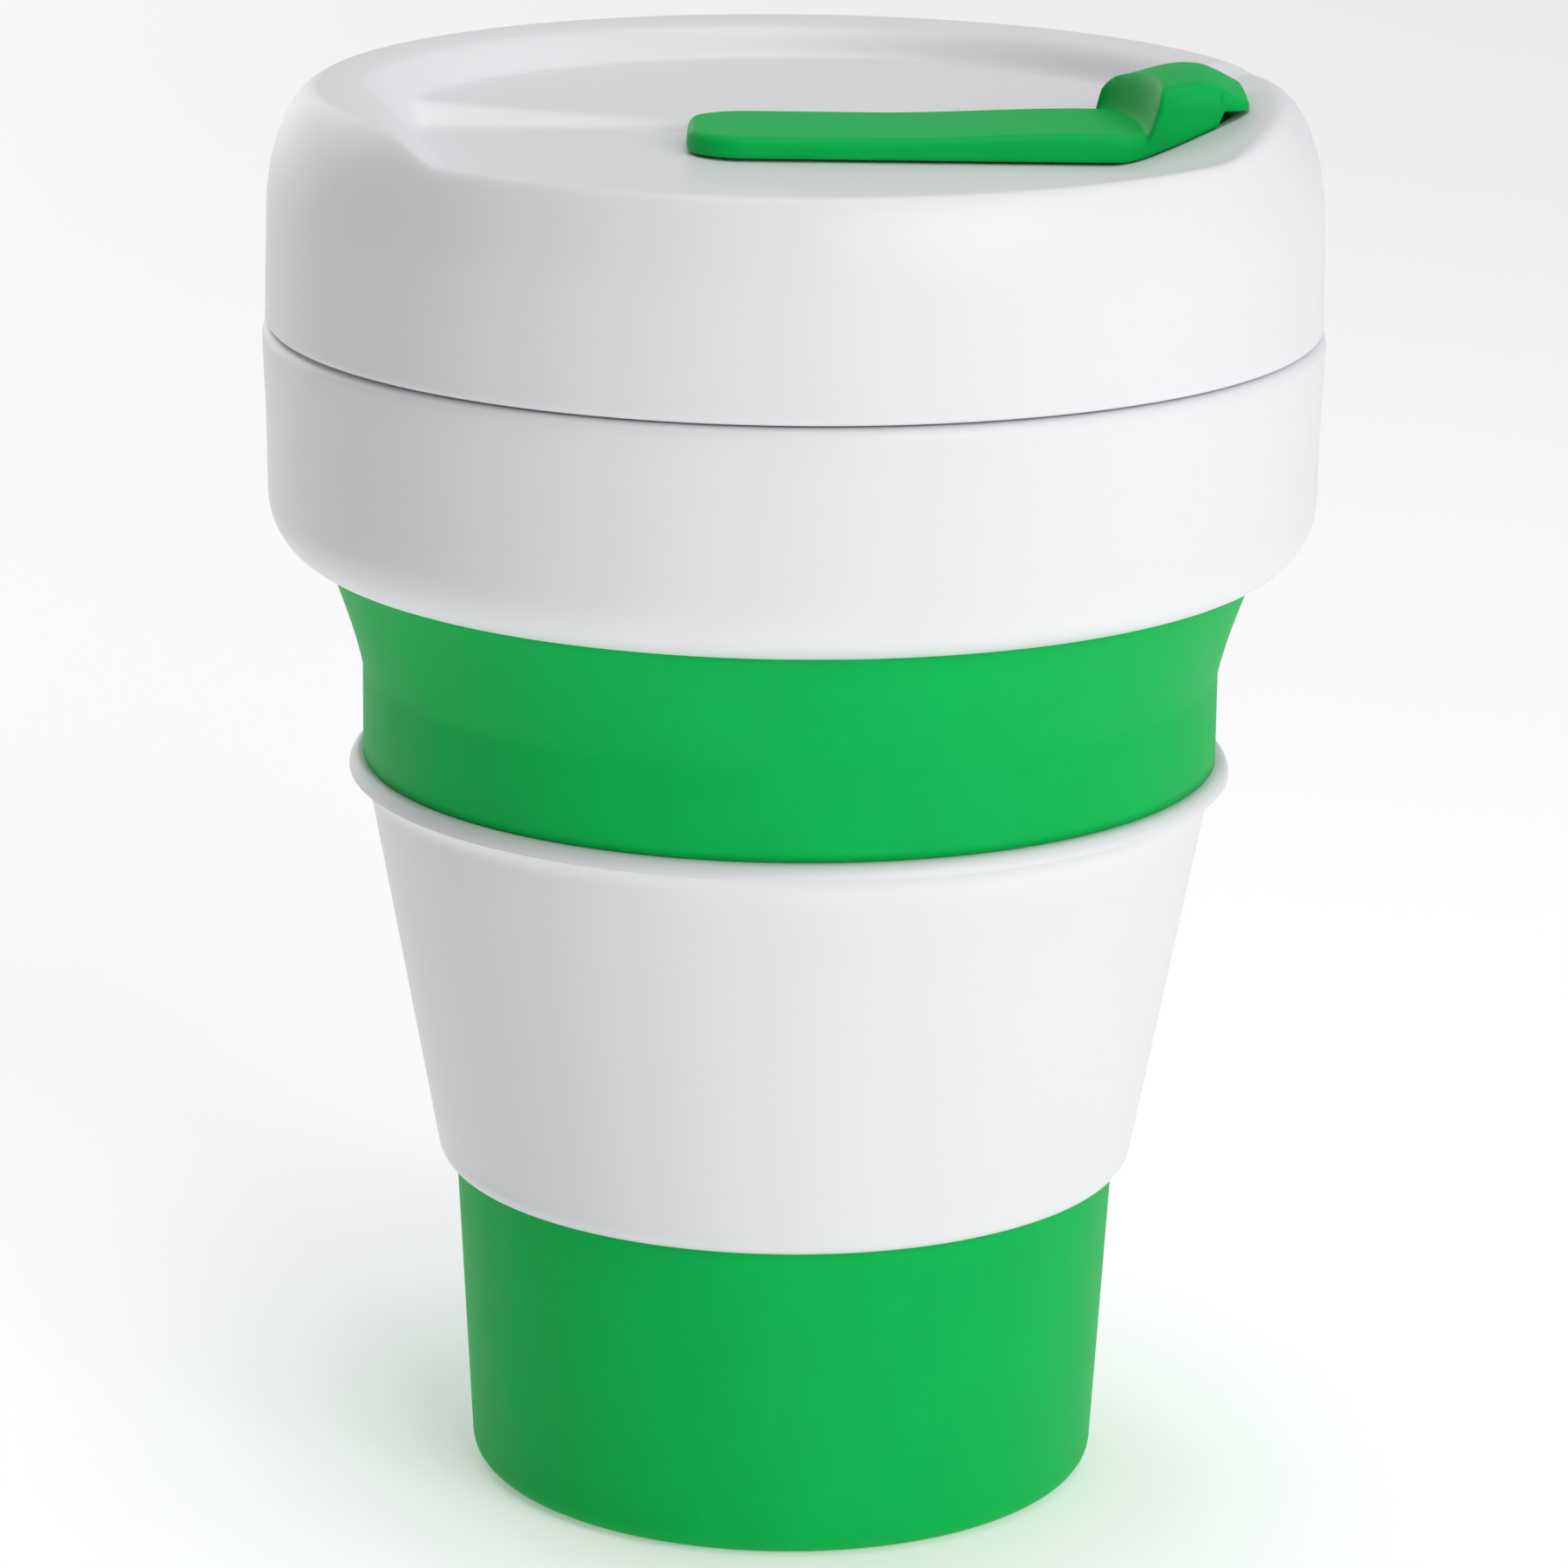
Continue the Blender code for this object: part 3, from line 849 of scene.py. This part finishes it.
def base_cup():
    """The base, with a recess under its foot and a rounded floor inside."""
    top = BASE_HIGH[2]
    side_r = BASE_R + BASE_TAPER * BASE_SIDE_Z
    corners = [
        (0.0, FOOT_RECESS, 0),
        (22.5, FOOT_RECESS, 0.6),
        (24.0, 0.0, 0.8),
        (BASE_R, 0.0, 2.2),
        (side_r, BASE_SIDE_Z, 0),
        (side_r, top, 0.5),
        (side_r - CUP_WALL, top, 0.5),
        (BASE_R + BASE_TAPER * 4 - CUP_WALL, BASE_FLOOR_Z, 4.0),
        (0.0, BASE_FLOOR_Z, 0),
    ]
    return new_object("base_cup", turned_mesh(rounded(corners, 7)), GREEN)


# ================================================================= heat sleeve
def sleeve_shell():
    """The hard sleeve: a cone with a soft flared lip at the top and a rolled edge at the bottom."""
    top, bottom, lip_r = SLEEVE_TOP_Z, SLEEVE_FOOT_Z, SLEEVE_LIP_R
    bore_r = sleeve_r(bottom) - SLEEVE_WALL
    outline = arc((bore_r + 0.35, bottom + 1.9), (1.25, 1.9), -90, 0, 8)
    outline += [(sleeve_r(z), z) for z in spaced(bottom + 2.6, top - 4.6, 8)]
    flare_z, edge_z = top - 4.2, top - 1.3
    flare_start_r = sleeve_r(flare_z)
    for t in spaced(0.0, QUARTER, 12)[1:]:
        share = smooth(0.5 * (1 - math.cos(t)) + 0.5 * t / QUARTER)
        radius = flare_start_r + (lip_r - flare_start_r) * share
        outline.append((radius, flare_z + (edge_z - flare_z) * math.sin(t)))
    outline += arc((lip_r - 1.1, edge_z), (1.1, top - edge_z), 0, 90, 8)[1:]
    outline += [(sleeve_r(top) - SLEEVE_WALL, top), (bore_r, bottom + 0.3), (bore_r + 0.1, bottom + 0.05)]
    return new_object("sleeve_shell", turned_mesh(outline), WHITE, 50.0)


# ================================================================= assembly
def place(obj, body, slot_name, *nodes):
    """Rides a piece on a body, and hides these CAD nodes."""
    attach(obj, body)
    if nodes:
        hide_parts(*nodes)


def build():
    place(lid_body(), "lid", "lid_plastic", "lid_shell")
    place(lid_lugs(), "lid", "lid_plastic")
    place(gasket_ring(), "gasket", "gasket_silicone", "lid_gasket")
    top = stopper_top()
    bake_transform(top)
    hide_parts("stopper_flap", "stopper_anchor")
    place(stopper_plug(), "stopper", "stopper_silicone")
    place(stopper_peg(), "lid", "stopper_silicone")
    place(collar_band(), "collar", "collar_plastic", "collar_shell")
    neck, ridges = neck_ring()
    place(neck, "collar", "collar_plastic", "threaded_neck")
    place(ridges, "collar", "collar_plastic")
    place(cup_lining(), "collar", "cup_silicone", "cup_rim")
    upper_wall()
    place(middle_wall(), "middle", "cup_silicone", "cup_middle")
    lower_skin()
    place(base_cup(), "base", "cup_silicone", "cup_base")
    place(sleeve_shell(), "sleeve", "sleeve_plastic", "heat_sleeve")


# ================================================================= studio, in metres
def area_light(name, location, aim, size, power):
    light = bpy.data.lights.new(name, "AREA")
    light.shape = "RECTANGLE"
    light.size, light.size_y = size
    light.energy = power
    obj = bpy.data.objects.new(name, light)
    obj.location = location
    obj.rotation_euler = (Vector(aim) - Vector(location)).to_track_quat("-Z", "Y").to_euler()
    bpy.context.scene.collection.objects.link(obj)


def room():
    """A pale room that is dark in front on the left, so that the cup's left side shades off."""
    world = bpy.data.worlds.new("studio")
    world.use_nodes = True
    tree = world.node_tree
    background = tree.nodes["Background"]
    where = tree.nodes.new("ShaderNodeTexCoord")
    toward = tree.nodes.new("ShaderNodeVectorMath")
    toward.operation = "DOT_PRODUCT"
    toward.inputs[1].default_value = (-0.62, -0.78, 0.0)
    ramp = tree.nodes.new("ShaderNodeMapRange")
    ramp.interpolation_type = "SMOOTHSTEP"
    ramp.inputs["From Min"].default_value = -0.1
    ramp.inputs["From Max"].default_value = 0.65
    ramp.inputs["To Min"].default_value = 0.5
    ramp.inputs["To Max"].default_value = 0.0
    tree.links.new(where.outputs["Generated"], toward.inputs[0])
    tree.links.new(toward.outputs["Value"], ramp.inputs["Value"])
    tree.links.new(ramp.outputs["Result"], background.inputs["Strength"])
    background.inputs["Color"].default_value = (0.97, 0.965, 1.0, 1.0)
    bpy.context.scene.world = world


def studio():
    """The room, a soft key from the right, a large soft light behind on the left, and one overhead."""
    room()
    area_light("key", (0.61, -0.95, 0.55), (0, 0, 0.07), (0.8, 0.8), 7.7)
    area_light("rim", (-1.0, 1.35, 0.5), (0, 0, 0.07), (1.4, 1.0), 8.0)
    area_light("top", (0.0, -0.1, 1.2), (0, 0, 0.1), (0.7, 0.7), 4.2)
    bpy.context.scene.view_settings.view_transform = "Standard"


def floor():
    material, shader = new_material("pale_floor", (0.93, 0.93, 0.93), 0.6)
    shader.inputs["Emission Color"].default_value = (1.0, 1.0, 1.0, 1.0)
    shader.inputs["Emission Strength"].default_value = 0.27
    mesh = bmesh.new()
    bmesh.ops.create_grid(mesh, x_segments=1, y_segments=1, size=3.0 / MM)
    new_object("floor", mesh, material)


def camera():
    """A long lens in front of the cup, looking down a little."""
    data = bpy.data.cameras.new("camera")
    data.sensor_width = 36.0
    data.lens = 150.9
    data.clip_start = 0.01
    obj = bpy.data.objects.new("camera", data)
    down, roll = 15.18, 0.683
    turn = Matrix.Rotation(math.radians(90 - down), 4, "X") @ Matrix.Rotation(math.radians(roll), 4, "Z")
    obj.matrix_world = Matrix.Translation((-0.00045, -0.600, 0.2292)) @ turn
    bpy.context.scene.collection.objects.link(obj)
    bpy.context.scene.camera = obj


build()
studio()
floor()
camera()
